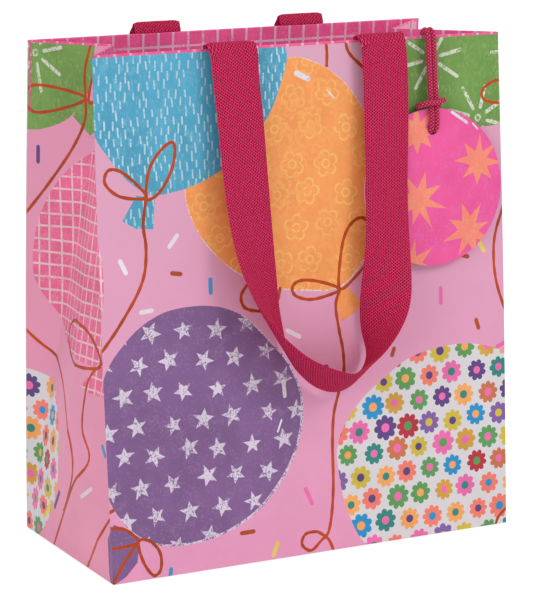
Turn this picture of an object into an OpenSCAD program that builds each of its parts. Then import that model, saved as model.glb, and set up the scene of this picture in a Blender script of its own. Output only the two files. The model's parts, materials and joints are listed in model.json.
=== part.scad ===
// Paper gift bag with two tape handles and a round tag on a doubled cord.
// Origin: centre of the base, on the surface it stands on. Front faces -Y, +Z is up.

/* [Bag] */
// Width across the front
bag_w = 220; // [180:1:300]
// Height to the rim
bag_h = 250; // [200:1:340]
// Depth at the base
base_d = 108; // [80:1:150]
// Depth at the rim, where the gussets draw the bag in
rim_d = 78; // [60:1:110]
// Thickness of the paper
paper_t = 0.4; // [0.3:0.05:0.6]

/* [Gussets] */
// How far the left gusset's crease is pushed in at the rim
tuck_left = 28; // [10:1:50]
// How far the right gusset's crease is pushed in at the rim
tuck_right = 38; // [10:1:50]

/* [Rim] */
// Depth of the turned-in hem
hem_h = 35; // [25:1:50]
// Depth of the stiffening card inside the hem
card_h = 31; // [20:1:40]
// Thickness of the stiffening card
card_t = 1; // [0.8:0.1:1.6]
// How far the card and hem stop short of the corners
rim_inset = 3.5; // [3:0.5:6]

/* [Base] */
// Thickness of the loose base board
board_t = 1.5; // [1:0.1:3]
// How far the front and back flaps overlap past the middle
flap_lap = 12; // [5:1:20]
// Width of the glue flap along the back seam
seam_w = 17; // [10:1:25]

/* [Handles] */
// Width of the tape
tape_w = 25; // [15:1:32]
// Thickness of the tape
tape_t = 1.4; // [1:0.1:2]
// Distance between the two legs of a handle
leg_pitch = 81; // [60:1:110]
// Drop of a hanging handle below the rim
handle_drop = 162; // [120:1:190]
// Length of tape glued down inside the hem
tail_len = 27; // [15:1:30]
// Height above the rim at which the tape turns over
rise = 2.2; // [2:0.1:4]

/* [Tag] */
// Diameter of the round tag
tag_d = 78; // [50:1:90]
// Thickness of the tag's card
tag_t = 0.8; // [0.6:0.1:1.2]
// Diameter of the tag's hole
tag_hole_d = 6; // [5.8:0.1:8]
// Distance from the top of the tag to the centre of its hole
tag_hole_in = 10; // [8:0.5:14]
// Distance of the tag's cord to the right of the middle
tag_x = 68.5; // [60:0.5:80]
// Diameter of the cord
cord_d = 2.6; // [2:0.1:2.8]

/* [Hidden] */
$fn = 96;

fit_gap = 0.1;                          // side clearance of what is trapped in the rim
soft_gap = 0.3;                         // clearance between pieces that are not fixed
hinge_gap = 0.5;                        // room for a handle to turn over where it leaves the rim
board_gap = 0.6;                        // clearance around the loose base board
lean = (base_d - rim_d) / 2 / bag_h;    // inward lean of the front per unit of height
lean_deg = atan(lean);
rim_stack = 2 * paper_t + card_t;       // panel, card and hem together
slit_o = -(paper_t + card_t / 2);       // the slit's middle, outward of the front face
hinge_z = bag_h + rise;
tuck_z = base_d / 2;                    // where the gusset creases meet above the base
board_z = 3 * paper_t;                  // underside of the base board
cord_tail_w = 2 * cord_d + 1;
tag_hole_drop = 45;                     // from the rim down to the tag's hole
tag_o = 3.6;                            // back face of the tag, outward of the front face

print_pink = "#E9A5CC";
hem_pink = "#E4558C";
tape_pink = "#D4265F";
card_grey = "#B9B2A6";

// ---- Helpers ----

// Outer face of the front at height z
function front_y(z) = -base_d / 2 + lean * z;

// A point given by its x, its height and its distance outward of the front face
function on_front(x, z, o) = [x, front_y(z) - o, z];

function unit(v) = v / norm(v);
function mix(a, b, t) = a + (b - a) * t;

// Catmull-Rom curve through the middle two of four values
function curve(p0, p1, p2, p3, t) =
    0.5 * (2 * p1 + (p2 - p0) * t + (2 * p0 - 5 * p1 + 4 * p2 - p3) * t * t
           + (3 * p1 - p0 - 3 * p2 + p3) * t * t * t);

// A list of points or rows, each span divided into steps parts
function smooth_path(rows, steps) =
    let (last = len(rows) - 1)
    [for (i = [0:last - 1], k = [0:steps - 1])
        curve(rows[max(i - 1, 0)], rows[i], rows[i + 1], rows[min(i + 2, last)], k / steps),
     rows[last]];

function tangents(points) =
    let (last = len(points) - 1)
    [for (i = [0:last]) unit(points[min(i + 1, last)] - points[max(i - 1, 0)])];

// Directions square to the path, carried along it without twisting
function carried(dirs, first) =
    [for (i = 0, r = unit(first - (first * dirs[0]) * dirs[0]); i < len(dirs);
          i = i + 1, r = i < len(dirs) ? unit(r - (r * dirs[i]) * dirs[i]) : r) r];

// Closed skin over rings of the same number of points
module skin(rings) {
    n = len(rings[0]);
    last = len(rings) - 1;
    sides = [for (i = [0:last - 1], k = [0:n - 1])
        let (a = i * n + k, b = i * n + (k + 1) % n)
        each [[a, b, b + n], [a, b + n, a + n]]];
    start = [[for (k = [n - 1:-1:0]) k]];
    end = [[for (k = [0:n - 1]) last * n + k]];
    polyhedron([for (r = rings) each r], concat(sides, start, end), convexity = 10);
}

// Flat sheet given by its corners, thickened by t along X
module ply(corners, t) {
    n = len(corners);
    far = [for (c = corners) c + [t, 0, 0]];
    faces = concat([[for (k = [0:n - 1]) k]], [[for (k = [n - 1:-1:0]) n + k]],
                   [for (k = [0:n - 1]) [k, n + k, n + (k + 1) % n, (k + 1) % n]]);
    polyhedron(concat(corners, far), faces, convexity = 4);
}

// Slab that follows the leaning front: from height z0 to z1, from depth d0 to d1 behind its
// outer face, and from x0 to x1
module front_slab(x0, x1, z0, z1, d0, d1) {
    translate([x0, 0, 0]) rotate([90, 0, 90]) linear_extrude(x1 - x0)
        polygon([[front_y(z0) + d0, z0], [front_y(z0) + d1, z0],
                 [front_y(z1) + d1, z1], [front_y(z1) + d0, z1]]);
}

// ---- Panels ----

module panel() {
    color(print_pink)
        front_slab(-bag_w / 2, bag_w / 2, 0, bag_h - paper_t, 0, paper_t);
}

module front_panel() { panel(); }
module back_panel() { rotate(180) panel(); }

// ---- Gussets, drawn on the left; the front half lies at negative Y ----

function fold_y(z) = front_y(z) + paper_t;
function edge_foot() = [-bag_w / 2, fold_y(0), 0];
function edge_top() = [-bag_w / 2, fold_y(bag_h), bag_h];
function crease_top(tuck) = [-bag_w / 2 + tuck, 0, bag_h];
function crease_foot() = [-bag_w / 2, 0, tuck_z];

// Each half bends gently along the line from its foot to the crease at the rim
module gusset_edge(tuck) {
    color(print_pink) ply([edge_foot(), edge_top(), crease_top(tuck)], paper_t);
}

module gusset_crease(tuck) {
    color(print_pink) ply([edge_foot(), crease_top(tuck), crease_foot()], paper_t);
}

module base_triangle() {
    back_foot = [-bag_w / 2, -fold_y(0), 0];
    ply([edge_foot(), crease_foot(), back_foot], paper_t);
}

// Turned-in strip of one gusset half: the part of its sheets above the hem's lower edge
module gusset_hem(tuck) {
    low = bag_h - hem_h;
    top = crease_top(tuck);
    on_edge = mix(edge_foot(), edge_top(), low / bag_h);
    on_bend = mix(edge_foot(), top, low / bag_h);
    on_crease = mix(crease_foot(), top, (low - tuck_z) / (bag_h - tuck_z));
    color(hem_pink) translate([paper_t, 0, 0]) {
        ply([on_edge, edge_top(), top, on_bend], paper_t);
        ply([on_bend, top, on_crease], paper_t);
    }
}

module left_gusset_front_edge() { gusset_edge(tuck_left); }
module left_gusset_front_crease() { gusset_crease(tuck_left); }
module left_gusset_back_edge() { mirror([0, 1, 0]) gusset_edge(tuck_left); }
module left_gusset_back_crease() { mirror([0, 1, 0]) gusset_crease(tuck_left); }
module left_base_triangle() { color(print_pink) base_triangle(); }
module left_hem_front() { gusset_hem(tuck_left); }
module left_hem_back() { mirror([0, 1, 0]) gusset_hem(tuck_left); }

module right_gusset_front_edge() { mirror([1, 0, 0]) gusset_edge(tuck_right); }
module right_gusset_front_crease() { mirror([1, 0, 0]) gusset_crease(tuck_right); }
module right_gusset_back_edge() { rotate(180) gusset_edge(tuck_right); }
module right_gusset_back_crease() { rotate(180) gusset_crease(tuck_right); }
module right_base_triangle() { color(print_pink) rotate(180) base_triangle(); }
module right_hem_front() { mirror([1, 0, 0]) gusset_hem(tuck_right); }
module right_hem_back() { rotate(180) gusset_hem(tuck_right); }

// Glue flap that joins the sheet's two ends, inside the back panel at its left edge
module seam_flap() {
    x_edge = bag_w / 2 - 1;
    color(print_pink) rotate(180)
        front_slab(x_edge - seam_w, x_edge, board_z + board_t + soft_gap, bag_h - hem_h - soft_gap,
                   paper_t, 2 * paper_t);
}

// ---- Base ----

// Rectangle of base sheet from y0 to y1, at layer number k above the ground
module base_sheet(y0, y1, k) {
    x = bag_w / 2 - paper_t - fit_gap;
    translate([-x, y0, k * paper_t]) cube([2 * x, y1 - y0, paper_t]);
}

function base_edge() = base_d / 2 - paper_t - 2 * fit_gap;

module base_flap_front() { color(print_pink) base_sheet(-base_edge(), flap_lap, 0); }
module base_flap_back() { color(print_pink) base_sheet(-flap_lap, base_edge(), 1); }

module base_flap_side() {
    x = bag_w / 2 - paper_t - fit_gap;
    reach = base_d * 0.45;
    tip = base_edge() * 0.2;
    translate([0, 0, 2 * paper_t]) linear_extrude(paper_t)
        polygon([[-x, -base_edge()], [reach - x, -tip], [reach - x, tip], [-x, base_edge()]]);
}

module base_flap_left() { color(print_pink) base_flap_side(); }
module base_flap_right() { color(print_pink) rotate(180) base_flap_side(); }

module base_board() {
    x = bag_w / 2 - paper_t - board_gap;
    y = base_edge() - board_gap;
    color(card_grey) translate([-x, -y, board_z]) cube([2 * x, 2 * y, board_t]);
}

// ---- Rim: card, hem and the slits that the tapes and the cord come out of ----

// Each row is the middle and the width of one thing trapped in the rim
function trapped(with_cord) =
    concat([[-leg_pitch / 2, tape_w], [leg_pitch / 2, tape_w]],
           with_cord ? [[tag_x, cord_tail_w]] : []);

function rim_x() = bag_w / 2 - rim_inset;

module rim_card(with_cord) {
    top = bag_h - paper_t;
    color(card_grey) difference() {
        front_slab(-rim_x(), rim_x(), top - card_h, top, paper_t, paper_t + card_t);
        for (slot = trapped(with_cord))
            front_slab(slot[0] - slot[1] / 2 - fit_gap, slot[0] + slot[1] / 2 + fit_gap,
                       bag_h - tail_len - fit_gap, bag_h, paper_t - 1, paper_t + card_t + 1);
    }
}

module hem(with_cord) {
    color(hem_pink) difference() {
        union() {
            front_slab(-rim_x(), rim_x(), bag_h - hem_h, bag_h, paper_t + card_t, rim_stack);
            front_slab(-rim_x(), rim_x(), bag_h - paper_t, bag_h, 0, paper_t + card_t);
        }
        for (slot = trapped(with_cord))
            front_slab(slot[0] - slot[1] / 2 - fit_gap, slot[0] + slot[1] / 2 + fit_gap,
                       bag_h - paper_t - 1, bag_h + 1, paper_t, paper_t + card_t);
    }
}

module front_rim_card() { rim_card(true); }
module back_rim_card() { rotate(180) rim_card(false); }
module front_hem() { hem(true); }
module back_hem() { rotate(180) hem(false); }

// ---- Handles ----

// Glued end of a handle, up to where the tape turns over the rim
module tail(side) {
    x = side * leg_pitch / 2;
    color(tape_pink)
        front_slab(x - tape_w / 2, x + tape_w / 2, bag_h - tail_len, hinge_z,
                   paper_t, paper_t + card_t);
}

module front_tail_left() { tail(-1); }
module front_tail_right() { tail(1); }
module back_tail_left() { rotate(180) tail(1); }
module back_tail_right() { rotate(180) tail(-1); }

// Rows of the hanging loop: x as a share of half the leg pitch, height below the rim as a share
// of the drop, distance outward of the front, heading of the loop's outer side, and twist
LOOP = [[-0.98, 0.02, 5.5, 0, 0], [-0.96, 0.09, 6, 2, 3], [-0.92, 0.22, 7, 3, 7],
        [-0.88, 0.37, 8, 4, 12], [-0.82, 0.53, 9.2, 6, 18], [-0.75, 0.67, 10.5, 10, 28],
        [-0.63, 0.80, 12.3, 22, 50], [-0.43, 0.90, 13.8, 40, 80], [-0.17, 0.975, 13.8, 65, 108],
        [0.10, 1, 13.2, 90, 123],
        [0.40, 0.985, 13.8, 112, 110], [0.65, 0.93, 13.8, 138, 84], [0.82, 0.85, 12.6, 155, 58],
        [0.92, 0.74, 10.5, 166, 36], [0.99, 0.60, 9.2, 172, 19], [1.04, 0.44, 8, 176, 9],
        [1.05, 0.28, 7, 179, 4], [1.04, 0.12, 6, 181, 0], [1.02, 0.02, 5.5, 180, 0]];

// The tape's turn over the rim: height above the hinge and distance outward
start_o = slit_o + card_t / 2 + hinge_gap - lean * rise;
ARCH = [[0, start_o], [0.1, start_o + 1.1], [0.1, start_o + 2.6], [-1, start_o + 4.5]];

function arch_rows(side) =
    [for (a = ARCH) [side * leg_pitch / 2, hinge_z + a[0], a[1], 90 + side * 90, 0]];

function reversed(rows) = [for (i = [len(rows) - 1:-1:0]) rows[i]];

function loop_rows() =
    concat(arch_rows(-1),
           [for (r = LOOP)
               [r[0] * leg_pitch / 2, bag_h - r[1] * handle_drop, r[2], r[3], r[4]]],
           reversed(arch_rows(1)));

// Four corners of the tape at one row of the loop, square to its direction there
function tape_ring(row, dir) =
    let (outer = [-cos(row[3]), 0, -sin(row[3])],
         wide = cos(row[4]) * outer + sin(row[4]) * [0, -1, 0],
         w = unit(wide - (wide * dir) * dir) * tape_w / 2,
         t = unit(cross(dir, w)) * tape_t / 2,
         c = on_front(row[0], row[1], row[2]))
    [c - w - t, c + w - t, c + w + t, c - w + t];

module handle() {
    rows = smooth_path(loop_rows(), 3);
    dirs = tangents([for (r = rows) on_front(r[0], r[1], r[2])]);
    color(tape_pink) skin([for (i = [0:len(rows) - 1]) tape_ring(rows[i], dirs[i])]);
}

module front_handle() { handle(); }
module back_handle() { rotate(180) handle(); }

// ---- Tag and its cord ----

// Pressed ends of the cord, glued inside the hem
module cord_tail() {
    color(tape_pink)
        front_slab(tag_x - cord_tail_w / 2, tag_x + cord_tail_w / 2,
                   bag_h - tail_len, bag_h, paper_t, paper_t + card_t);
}

// Route of one half of the cord: distance from the cord's middle, height from the rim, distance
// outward of the front. It comes out of the slit, runs down over the tag, goes back through the
// hole, up behind the tag and out over its top edge, to the middle of the hitch.
CORD_HALF = [[1.4, 0.7, -0.9], [1.4, 2.2, -0.5], [1.4, 3.1, 1.5], [1.4, 1.8, 3.7],
             [1.4, -2, 4.5], [1.4, -14, 4.8], [1.4, -26, 5.5], [1.4, -36, 6.2],
             [1.4, -41.5, 6.2], [1.4, -44.3, 5.4], [1.4, -45, 4], [1.8, -44, 2.3],
             [3.4, -40, 1.9], [5.6, -36, 1.9], [6.9, -33.2, 2.6], [7.4, -32.2, 4.6],
             [6.6, -31.8, 7], [4, -31.5, 8.7], [0, -31.4, 9.4]];

function cord_points() =
    let (left = [for (p = CORD_HALF) on_front(tag_x - p[0], bag_h + p[1], p[2])],
         right = [for (p = CORD_HALF) on_front(tag_x + p[0], bag_h + p[1], p[2])],
         last = len(CORD_HALF) - 1)
    concat(left, [for (i = [last - 1:-1:0]) right[i]]);

module tag_cord() {
    points = smooth_path(cord_points(), 2);
    dirs = tangents(points);
    across = carried(dirs, [1, 0, 0]);
    sides = 8;
    color(tape_pink) skin([for (i = [0:len(points) - 1])
        let (u = across[i], v = cross(dirs[i], u))
        [for (k = [0:sides - 1])
            points[i] + cord_d / 2 * (cos(k * 360 / sides) * u + sin(k * 360 / sides) * v)]]);
}

module tag_card() {
    hole = on_front(tag_x, bag_h - tag_hole_drop, tag_o);
    color("#EC5AA0") translate(hole) rotate([90 - lean_deg, 0, 0]) difference() {
        translate([0, tag_hole_in - tag_d / 2, 0]) cylinder(d = tag_d, h = tag_t);
        translate([0, 0, -1]) cylinder(d = tag_hole_d, h = tag_t + 2);
    }
}

front_panel();
back_panel();
left_gusset_front_edge();
left_gusset_front_crease();
left_gusset_back_edge();
left_gusset_back_crease();
left_base_triangle();
right_gusset_front_edge();
right_gusset_front_crease();
right_gusset_back_edge();
right_gusset_back_crease();
right_base_triangle();
seam_flap();
base_flap_front();
base_flap_back();
base_flap_left();
base_flap_right();
base_board();
front_hem();
back_hem();
left_hem_front();
left_hem_back();
right_hem_front();
right_hem_back();
front_rim_card();
back_rim_card();
front_tail_left();
front_tail_right();
back_tail_left();
back_tail_right();
front_handle();
back_handle();
cord_tail();
tag_cord();
tag_card();
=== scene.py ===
"""Looks of a paper gift bag: balloon print, turned-in rim, knitted tape handles, round tag on a cord."""
import json
import math
import random

import bpy
import numpy as np
from mathutils import Matrix, Vector
from mathutils.geometry import delaunay_2d_cdt


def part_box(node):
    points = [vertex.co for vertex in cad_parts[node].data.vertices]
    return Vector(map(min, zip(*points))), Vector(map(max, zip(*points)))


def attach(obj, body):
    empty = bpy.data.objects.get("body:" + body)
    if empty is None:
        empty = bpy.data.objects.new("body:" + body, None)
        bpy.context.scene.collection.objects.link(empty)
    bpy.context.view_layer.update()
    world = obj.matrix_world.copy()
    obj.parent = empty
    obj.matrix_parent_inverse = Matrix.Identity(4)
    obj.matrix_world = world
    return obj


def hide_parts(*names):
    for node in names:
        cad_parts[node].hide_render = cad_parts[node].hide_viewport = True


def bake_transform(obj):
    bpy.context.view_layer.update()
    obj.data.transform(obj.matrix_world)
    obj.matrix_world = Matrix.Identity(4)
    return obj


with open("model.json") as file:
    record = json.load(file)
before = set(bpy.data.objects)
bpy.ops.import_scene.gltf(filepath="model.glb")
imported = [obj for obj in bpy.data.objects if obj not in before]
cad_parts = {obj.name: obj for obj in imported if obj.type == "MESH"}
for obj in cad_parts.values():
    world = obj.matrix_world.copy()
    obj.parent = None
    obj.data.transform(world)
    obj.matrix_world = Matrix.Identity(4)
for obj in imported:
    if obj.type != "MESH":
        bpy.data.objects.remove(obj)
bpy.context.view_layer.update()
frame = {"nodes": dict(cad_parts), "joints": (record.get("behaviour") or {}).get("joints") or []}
MM = 0.001

# ---- Sizes, all in millimetres, read from the frame ----


def mm_box(node):
    low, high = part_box(node)
    return low / MM, high / MM


def joint(name):
    return next(j for j in frame["joints"] if j["name"] == name)


panel_low, panel_high = mm_box("front_panel")
flap_low, flap_high = mm_box("base_flap_front")
hem_low, hem_high = mm_box("front_hem")
PAPER = flap_high.z - flap_low.z
HALF_W = panel_high.x
HALF_D = -panel_low.y
LEAN = (panel_high.y - PAPER - panel_low.y) / panel_high.z
RIM_Z = hem_high.z
HEM_Z = hem_low.z
CREASE_Z = mm_box("left_base_triangle")[1].z
TUCK = {-1: mm_box("left_gusset_front_crease")[1].x - PAPER + HALF_W,
        1: HALF_W - PAPER - mm_box("right_gusset_front_crease")[0].x}
CARD = mm_box("front_rim_card")[1].y + HALF_D - LEAN * mm_box("front_rim_card")[1].z - PAPER
RIM_STACK = CARD + 2 * PAPER
EDGE = RIM_Z - 1.0          # height at which the hem's print shows outside, below the fold


def front_y(z):
    """Outer face of the front panel at height z."""
    return -HALF_D + LEAN * z


def add_object(name, data):
    made = bpy.data.objects.new(name, data)
    bpy.context.scene.collection.objects.link(made)
    return made


# ---- Camera ----

VIEW_YAW, VIEW_PITCH, VIEW_ROLL = math.radians(27.36), math.radians(11.81), math.radians(-0.16)
VIEW_DISTANCE = 1312.8
VIEW_TARGET = Vector((0.1, 0, 118.5))
LENS, SENSOR = 158.2, 36.0


def make_camera():
    forward = Vector((math.sin(VIEW_YAW) * math.cos(VIEW_PITCH),
                      math.cos(VIEW_YAW) * math.cos(VIEW_PITCH), -math.sin(VIEW_PITCH)))
    level = Vector((math.cos(VIEW_YAW), -math.sin(VIEW_YAW), 0))
    upright = level.cross(forward)
    right = math.cos(VIEW_ROLL) * level + math.sin(VIEW_ROLL) * upright
    up = -math.sin(VIEW_ROLL) * level + math.cos(VIEW_ROLL) * upright
    data = bpy.data.cameras.new("camera")
    data.lens, data.sensor_width = LENS, SENSOR
    data.clip_start, data.clip_end = 0.05, 20
    camera = add_object("camera", data)
    turn = Matrix((right, up, -forward)).transposed().to_4x4()
    camera.matrix_world = Matrix.Translation((VIEW_TARGET - forward * VIEW_DISTANCE) * MM) @ turn
    bpy.context.scene.camera = camera


# ---- Materials ----


def linear(rgb):
    """0 to 255 display colour as the shader's linear colour."""
    part = [c / 255 for c in rgb]
    return [c / 12.92 if c <= 0.04045 else ((c + 0.055) / 1.055) ** 2.4 for c in part] + [1]


class Graph:
    """A material's nodes, written as calls."""

    def __init__(self, name, rough, specular):
        self.material = bpy.data.materials.new(name)
        self.material.use_nodes = True
        self.tree = self.material.node_tree
        self.shader = self.tree.nodes["Principled BSDF"]
        self.shader.inputs["Roughness"].default_value = rough
        self.shader.inputs["Specular IOR Level"].default_value = specular

    def node(self, kind, **values):
        made = self.tree.nodes.new(kind)
        for key, value in values.items():
            setattr(made, key, value)
        return made

    def feed(self, socket, value):
        if isinstance(value, bpy.types.NodeSocket):
            self.tree.links.new(value, socket)
        else:
            socket.default_value = value

    def math(self, operation, a, b=0.0, c=0.0):
        made = self.node("ShaderNodeMath", operation=operation)
        for socket, value in zip(made.inputs, (a, b, c)):
            self.feed(socket, value)
        return made.outputs[0]

    def noise(self, scale, vector, detail=3.0, rough=0.55):
        made = self.node("ShaderNodeTexNoise")
        made.inputs["Scale"].default_value = scale
        made.inputs["Detail"].default_value = detail
        made.inputs["Roughness"].default_value = rough
        self.feed(made.inputs["Vector"], vector)
        return made.outputs[0]

    def stretch(self, vector, scale):
        made = self.node("ShaderNodeMapping")
        self.feed(made.inputs["Vector"], vector)
        made.inputs["Scale"].default_value = scale
        return made.outputs[0]

    def place(self):
        return self.node("ShaderNodeTexCoord").outputs["Object"]

    def uv(self):
        parts = self.node("ShaderNodeSeparateXYZ")
        self.feed(parts.inputs[0], self.node("ShaderNodeUVMap", uv_map="weave").outputs[0])
        return parts.outputs[0], parts.outputs[1]

    def between(self, value, low, high, smooth=True):
        made = self.node("ShaderNodeMapRange")
        made.interpolation_type = "SMOOTHSTEP" if smooth else "LINEAR"
        self.feed(made.inputs[0], value)
        made.inputs[1].default_value, made.inputs[2].default_value = low, high
        return made.outputs[0]

    def mix(self, share, a, b):
        made = self.node("ShaderNodeMix", data_type="RGBA")
        self.feed(made.inputs[0], share)
        self.feed(made.inputs[6], a)
        self.feed(made.inputs[7], b)
        return made.outputs[2]

    def bump(self, height, strength, distance):
        made = self.node("ShaderNodeBump")
        made.inputs["Strength"].default_value = strength
        made.inputs["Distance"].default_value = distance
        self.feed(made.inputs["Height"], height)
        self.feed(self.shader.inputs["Normal"], made.outputs[0])

    def colour(self, value):
        self.feed(self.shader.inputs["Base Color"], value)


def shade(rgb, factor):
    return [min(255, c * factor) for c in rgb]


INK = {}


def ink(name, rgb, mottle=0.05, grain=None, flecks=0.0, fleck_scale=900, brush=(1, 1, 1), fade=None):
    """A printed colour: cloudy variation, and flecks of a second colour as chalk or dry brush leaves."""
    g = Graph(name, rough=0.5, specular=0.35)
    at = g.place()
    cloud = g.between(g.noise(38, g.stretch(at, brush), 4), 0.3, 0.7)
    colour = g.mix(cloud, linear(shade(rgb, 1 - mottle)), linear(shade(rgb, 1 + mottle)))
    # Painted light: the colour turns with height to a second, greyer pink, reached at 0.25 m, for how the
    # light falls from the bottom to the top of the bag.
    if fade:
        parts = g.node("ShaderNodeSeparateXYZ")
        g.feed(parts.inputs[0], at)
        colour = g.mix(g.between(parts.outputs[2], 0.0, 0.25, False), colour, linear(fade))
    if grain:
        speck = g.noise(fleck_scale, g.stretch(at, brush), 3, 0.7)
        level = g.math("MULTIPLY_ADD", g.noise(150, at, 2), 0.4, speck)
        edge = 0.86 - flecks * 0.32     # noise level where a fleck begins
        colour = g.mix(g.between(level, edge - 0.05, edge + 0.05), colour, linear(grain))
    g.bump(g.noise(2600, at, 2), strength=0.12, distance=0.00008)
    g.colour(colour)
    INK[name] = g.material


WHITE = (224, 221, 224)
# flecks is the rough share of an ink that its grain colour covers
PRINT_INKS = {
    "pink": dict(rgb=(238, 160, 197), mottle=0.015, fade=(226, 169, 195)),
    # Painted shade: the gussets take their own warmer, more saturated pink for the shade and reflected warm
    # light on the bag's sides; the paper's ink is the same pink as the front.
    "side_pink": dict(rgb=(240, 156, 186), mottle=0.015, fade=(232, 158, 188)),
    "blue": dict(rgb=(80, 168, 202), mottle=0.06, grain=(104, 180, 208), flecks=0.3, brush=(1, 1, 0.4)),
    "blue_dash": dict(rgb=(192, 216, 228), grain=(130, 190, 212), flecks=0.3),
    "orange": dict(rgb=(251, 158, 88), mottle=0.03, grain=(253, 168, 97), flecks=0.4, fleck_scale=420),
    "orange_line": dict(rgb=(253, 188, 104), grain=(252, 168, 92), flecks=0.3),
    "orange_rim": dict(rgb=(250, 172, 104), grain=(240, 226, 220), flecks=0.5, fleck_scale=800),
    "green": dict(rgb=(112, 154, 74), mottle=0.06, grain=(130, 168, 92), flecks=0.3, brush=(1, 1, 0.5)),
    "green_ray": dict(rgb=(220, 222, 206), grain=(140, 174, 108), flecks=0.32, fleck_scale=800),
    "purple": dict(rgb=(129, 92, 143), mottle=0.04, grain=(142, 108, 154), flecks=0.25),
    "purple_rim": dict(rgb=(136, 100, 149), grain=(226, 212, 228), flecks=0.62, fleck_scale=1200),
    "star": dict(rgb=(222, 212, 228), mottle=0.03, grain=(150, 118, 162), flecks=0.3, fleck_scale=1000),
    "chalk": dict(rgb=(234, 228, 234), grain=(206, 178, 204), flecks=0.25),
    "white": dict(rgb=WHITE, mottle=0.012),
    "grid": dict(rgb=(236, 106, 150), mottle=0.06, grain=(240, 132, 170), flecks=0.3),
    "grid_line": dict(rgb=(232, 204, 208), grain=(238, 150, 180), flecks=0.28),
    "string": dict(rgb=(180, 66, 6), mottle=0.12),
    "hem": dict(rgb=(244, 90, 152), mottle=0.05, grain=(248, 112, 168), flecks=0.3),
    "hem_line": dict(rgb=(232, 190, 210), grain=(232, 120, 168), flecks=0.26),
    "tag": dict(rgb=(244, 88, 158), mottle=0.03, grain=(236, 106, 176), flecks=0.25),
    "tag_star": dict(rgb=(251, 140, 118), mottle=0.03, grain=(250, 158, 124), flecks=0.25),
    "paper_white": dict(rgb=(240, 238, 236), mottle=0.01),
    "board": dict(rgb=(196, 188, 176), mottle=0.04, grain=(170, 162, 150), flecks=0.3),
}
PLAIN_INKS = {
    "tag_edge": (232, 150, 190), "coral": (252, 128, 110), "yellow": (216, 190, 66),
    "teal": (45, 135, 126), "sky": (36, 146, 202), "leaf": (92, 156, 88), "plum": (92, 66, 128),
    "lilac": (130, 96, 165), "rose": (242, 112, 178), "tangerine": (255, 170, 96),
    "ochre": (212, 162, 62), "rust": (202, 116, 76), "red": (185, 46, 62),
    "dash_white": (236, 226, 232), "dash_brown": (176, 74, 26), "dash_blue": (70, 150, 200),
    "dash_pink": (244, 112, 176), "dash_yellow": (236, 214, 96), "dash_purple": (104, 70, 140),
}


def knit(name, base, light, dark, wale, course):
    """Knitted tape: staggered holes between the slanting threads of each stitch, painted dark as shade, with
    painted highlight along the raised threads.
    """
    g = Graph(name, rough=0.75, specular=0.15)
    u, v = g.uv()
    column = g.math("DIVIDE", u, wale)
    across = g.math("SUBTRACT", g.math("FRACT", column), 0.5)
    odd = g.math("MODULO", g.math("FLOOR", column), 2.0)
    row = g.math("ADD", g.math("DIVIDE", v, course), g.math("MULTIPLY", odd, 0.5))
    along = g.math("SUBTRACT", g.math("FRACT", row), 0.5)
    away = g.math("SQRT", g.math("ADD", g.math("MULTIPLY", g.math("POWER", across, 2.0), 1.3),
                                 g.math("POWER", along, 2.0)))
    solid = g.between(away, 0.22, 0.5)
    lean = g.math("MULTIPLY", g.math("SUBTRACT", odd, 0.5), g.math("MULTIPLY", across, 1.6))
    slant = g.math("FRACT", g.math("ADD", row, lean))
    thread = g.between(g.math("ABSOLUTE", g.math("SUBTRACT", slant, 0.5)), 0.22, 0.46)
    fuzz = g.noise(1.3, g.node("ShaderNodeUVMap", uv_map="weave").outputs[0], 3)
    # Painted highlight: lighter along the raised threads, broken up by noise. Painted shade: the holes,
    # where the bump is low, take the darkest colour.
    body = g.mix(g.math("MULTIPLY", thread, g.between(fuzz, 0.3, 0.7)), linear(base), linear(light))
    g.colour(g.mix(solid, linear(dark), body))
    height = g.math("ADD", g.math("MULTIPLY", solid, 0.7), g.math("MULTIPLY", thread, 0.3))
    g.bump(height, strength=0.7, distance=0.0003)
    return g.material


def make_inks():
    for name, values in PRINT_INKS.items():
        ink(name, **values)
    for name, rgb in PLAIN_INKS.items():
        ink(name, rgb)


# ---- Drawing of the print ----
# Print is drawn flat, in millimetres. u runs round the outside of the bag: 0 is the middle of the
# front, and it grows to the right. z is the height.

CORNER = HALF_W
BACK = HALF_W + 2 * HALF_D          # the corner between a gusset and the back
WHOLE = 2 * (HALF_W + BACK)         # once round the bag
STRING_W = 1.6
RIM_SHRINK = 0.992                  # size of a balloon inside its dry-brush rim

dice = random.Random(7)


def spline(points, closed, steps=6):
    """Smooth curve through the points, as a list of points."""
    n = len(points)
    out = []
    for i in range(n if closed else n - 1):
        if closed:
            a, b, c, d = (points[(i + k) % n] for k in (-1, 0, 1, 2))
        else:
            a, b, c, d = (points[min(max(i + k, 0), n - 1)] for k in (-1, 0, 1, 2))
        for k in range(steps):
            t = k / steps
            out.append(tuple(0.5 * (2 * b[j] + (c[j] - a[j]) * t
                                    + (2 * a[j] - 5 * b[j] + 4 * c[j] - d[j]) * t * t
                                    + (3 * b[j] - a[j] - 3 * c[j] + d[j]) * t ** 3)
                             for j in range(len(b))))
    if not closed:
        out.append(tuple(points[-1]))
    return out


def ring(x, z, radius, count, start=0.0):
    """Closed shape round a point. radius gives the reach at an angle."""
    shape = []
    for k in range(count):
        a = k / count * math.tau
        shape.append((x + radius(a) * math.cos(a + start), z + radius(a) * math.sin(a + start)))
    return shape


def disc(x, z, r, count=12):
    return ring(x, z, lambda a: r, count)


def star(x, z, r, points, depth, turn, rough):
    corners = []
    for k in range(2 * points):
        reach = (r if k % 2 == 0 else r * depth) * (1 + dice.uniform(-rough, rough))
        angle = turn + k * math.pi / points
        corners.append((x + reach * math.sin(angle), z + reach * math.cos(angle)))
    return corners


def petals(x, z, r, count, depth, turn):
    return ring(x, z, lambda a: r * (1 - depth * (1 - abs(math.cos(count * a / 2)) ** 0.7)),
                count * 6, turn)


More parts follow.
